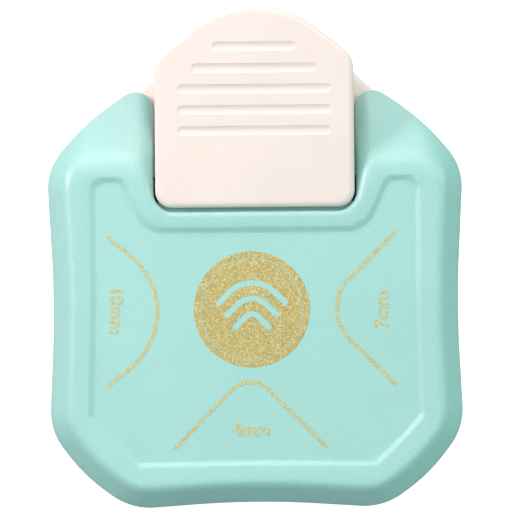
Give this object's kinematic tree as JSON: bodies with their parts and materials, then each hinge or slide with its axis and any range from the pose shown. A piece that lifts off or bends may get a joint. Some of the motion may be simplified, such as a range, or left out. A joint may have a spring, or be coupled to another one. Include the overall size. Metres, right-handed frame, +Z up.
{
  "type": "corner rounder",
  "caption": "Paper corner rounder with a low chamfered cover, a rear press lever and V-guided paper slots for several corner radii.",
  "frame": {"origin": "on the table, under the middle of the object's box", "axes": "+Z up, +Y to the rear where the lever is pressed, +X to the right seen from the front"},
  "size_m": [0.064, 0.0773, 0.0323],
  "materials": {
    "mint_plastic": "satin moulded ABS with a fine grain on the top panel",
    "cream_plastic": "smooth satin moulded ABS",
    "tool_steel": "ground steel",
    "spring_steel": "bright drawn wire",
    "brass": "turned brass",
    "carrier_plastic": "grey acetal",
    "zinc_screw": "zinc plated",
    "rubber": "matt moulded rubber",
    "gold_foil": "hot-stamped gold foil print on the cover"
  },
  "bodies": {
    "body": {"top_housing": "mint_plastic", "base": "cream_plastic", "die_plate": "tool_steel", "guide_plate": "tool_steel", "stripper_plate": "tool_steel", "guide_post_left": "tool_steel", "guide_post_right": "tool_steel", "lever_pivot_pin": "tool_steel", "chip_door_pin": "tool_steel", "return_spring_left": "spring_steel", "return_spring_right": "spring_steel", "housing_screw_front_left": "zinc_screw", "housing_screw_front_right": "zinc_screw", "housing_screw_rear_left": "zinc_screw", "housing_screw_rear_right": "zinc_screw", "plate_screw_front_left": "zinc_screw", "plate_screw_front_right": "zinc_screw", "plate_screw_rear_left": "zinc_screw", "plate_screw_rear_right": "zinc_screw", "rubber_foot_front_left": "rubber", "rubber_foot_front_right": "rubber", "rubber_foot_rear_left": "rubber", "rubber_foot_rear_right": "rubber"},
    "lever": {"lever": "cream_plastic", "press_roller": "tool_steel", "press_roller_pin": "tool_steel"},
    "punch_unit": {"punch_carrier": "carrier_plastic", "punch_10mm": "tool_steel", "punch_7mm": "tool_steel", "punch_4mm": "tool_steel", "guide_bush_left": "brass", "guide_bush_right": "brass"},
    "chip_door": {"chip_door": "cream_plastic"}
  },
  "joints": [
    {"name": "lever_pivot", "type": "hinge", "parent": "body", "child": "lever", "pos_m": [0, -0.0313, 0.017], "axis": [-1, 0, 0], "range_deg": [0, 8.6], "stiffness_Nm_per_rad": 0.4, "springref_deg": -11.46},
    {"name": "punch_slide", "type": "slide", "parent": "body", "child": "punch_unit", "axis": [0, 0, -1], "range_m": [0, 0.0038], "deforming": ["return_spring_left", "return_spring_right"]},
    {"name": "chip_door_hinge", "type": "hinge", "parent": "body", "child": "chip_door", "pos_m": [0, 0.0077, 0.002], "axis": [1, 0, 0], "range_deg": [0, 100]}
  ],
  "couplings": [
    {"joint": "punch_slide", "follows": "lever_pivot", "m_per_rad": 0.0252}
  ]
}
